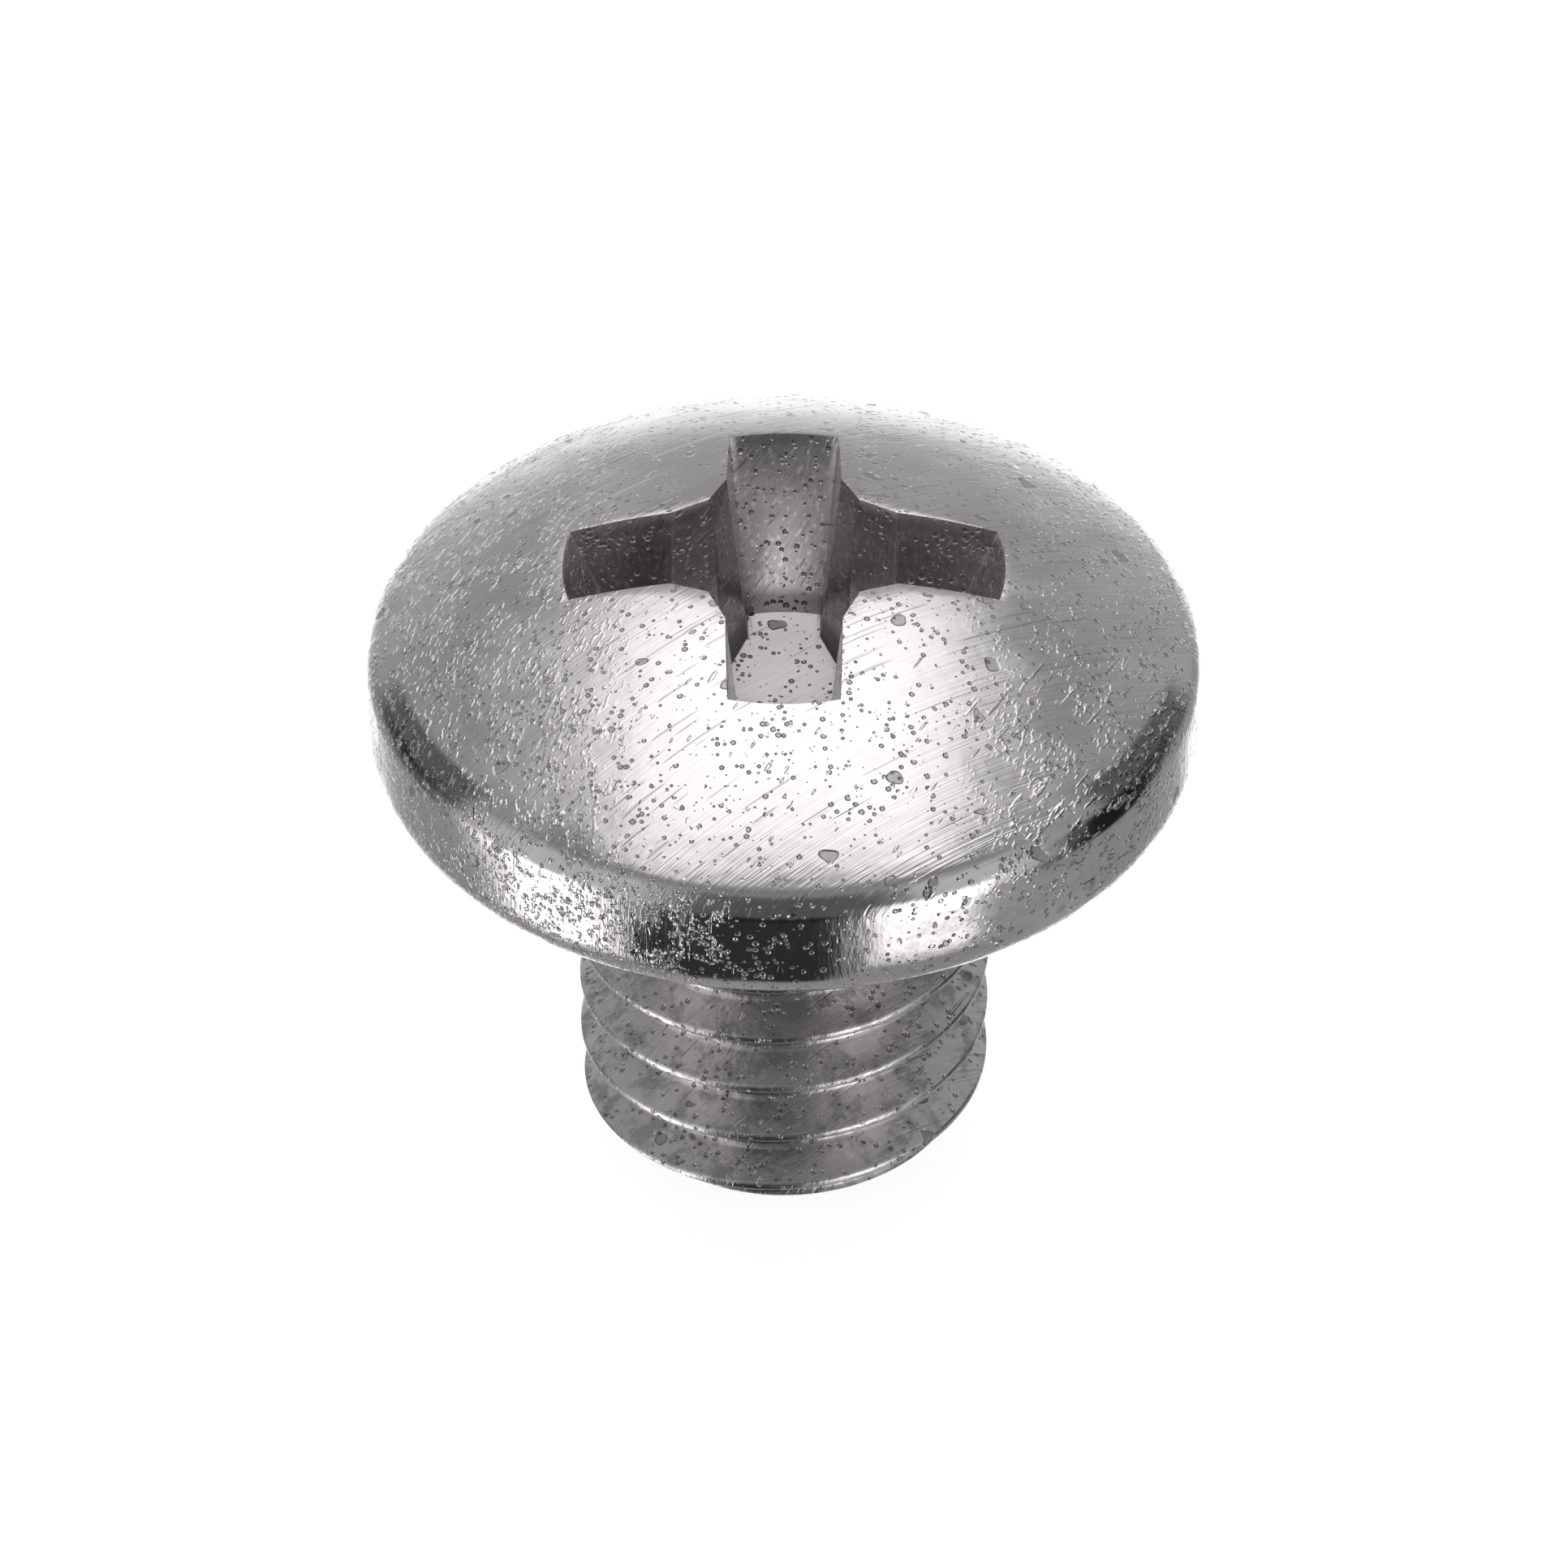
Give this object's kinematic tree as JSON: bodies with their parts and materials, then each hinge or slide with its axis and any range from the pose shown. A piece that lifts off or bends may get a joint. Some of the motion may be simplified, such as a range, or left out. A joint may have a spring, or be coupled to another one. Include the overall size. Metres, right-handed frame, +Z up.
{
  "type": "machine screw",
  "caption": "Short machine screw with a low domed round head, a cross recess and a right-hand metric thread up to a plain neck.",
  "frame": {"origin": "centre of the flat end of the shank, which the screw stands on", "axes": "+Z up the axis from the end of the shank to the head; +X and +Y along the wings of the cross recess"},
  "size_m": [0.0158, 0.0158, 0.0136],
  "materials": {
    "steel": "worn brushed steel with fine hairlines, small pits and scratches"
  },
  "bodies": {
    "root": {"screw": "steel"}
  },
  "joints": []
}
